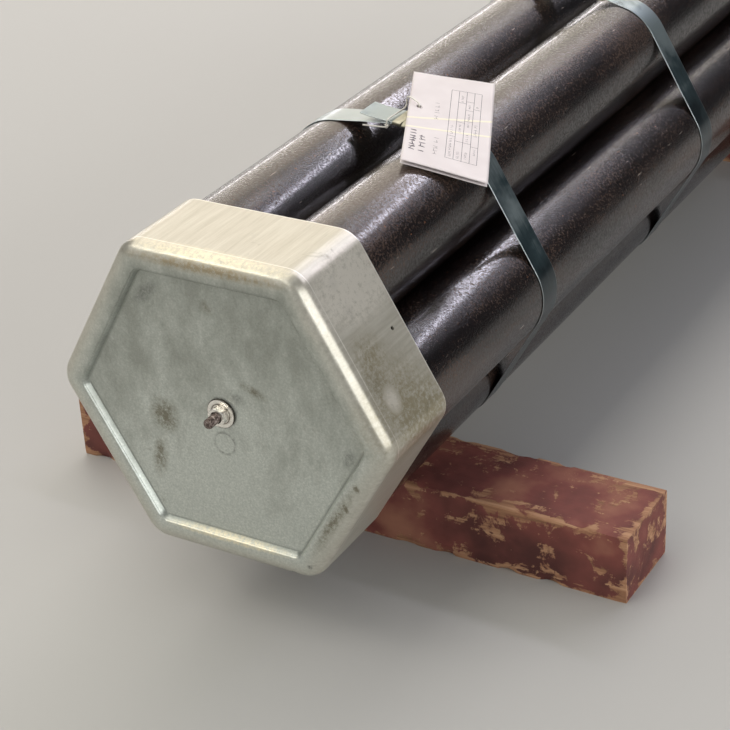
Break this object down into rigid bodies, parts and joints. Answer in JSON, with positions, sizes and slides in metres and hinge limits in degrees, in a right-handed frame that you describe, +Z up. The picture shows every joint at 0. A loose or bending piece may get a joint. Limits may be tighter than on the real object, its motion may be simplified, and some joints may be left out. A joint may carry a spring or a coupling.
{
  "type": "bundle of steel pipes",
  "caption": "Hexagonal pack of steel pipes with pressed steel end caps drawn up by a tie rod, banded with steel strapping, tagged and laid on timber bearers.",
  "frame": {"origin": "on the floor under the middle of the bundle, at the height of the bearers' undersides", "axes": "+X across the bundle to the right as seen from the front cap, +Y along the pipes from the front cap to the rear one, +Z up"},
  "size_m": [0.65, 1.554, 0.4198],
  "materials": {
    "pipe_steel": "dark brown oiled mill finish, slightly pebbled",
    "cap_steel": "bare pressed sheet steel, smudged and scratched",
    "rod_steel": "dark threaded rod",
    "plated_steel": "bright plating",
    "strap_steel": "blue-black lacquered strapping",
    "seal_steel": "zinc coated",
    "tag_card": "off-white printed card",
    "tie_string": "twisted white string",
    "bearer_timber": "rough sawn timber, worn red paint"
  },
  "bodies": {
    "root": {"pipe_top_left": "pipe_steel", "pipe_top_right": "pipe_steel", "pipe_middle_left": "pipe_steel", "pipe_centre": "pipe_steel", "pipe_middle_right": "pipe_steel", "pipe_bottom_left": "pipe_steel", "pipe_bottom_right": "pipe_steel", "end_cap_front": "cap_steel", "end_cap_rear": "cap_steel", "tie_rod": "rod_steel", "nut_front": "plated_steel", "nut_rear": "plated_steel", "washer_front": "plated_steel", "washer_rear": "plated_steel", "strap_1": "strap_steel", "strap_2": "strap_steel", "strap_3": "strap_steel", "seal_1": "seal_steel", "seal_2": "seal_steel", "seal_3": "seal_steel", "tag": "tag_card", "tag_tie": "tie_string", "bearer_front": "bearer_timber", "bearer_rear": "bearer_timber"}
  },
  "joints": []
}
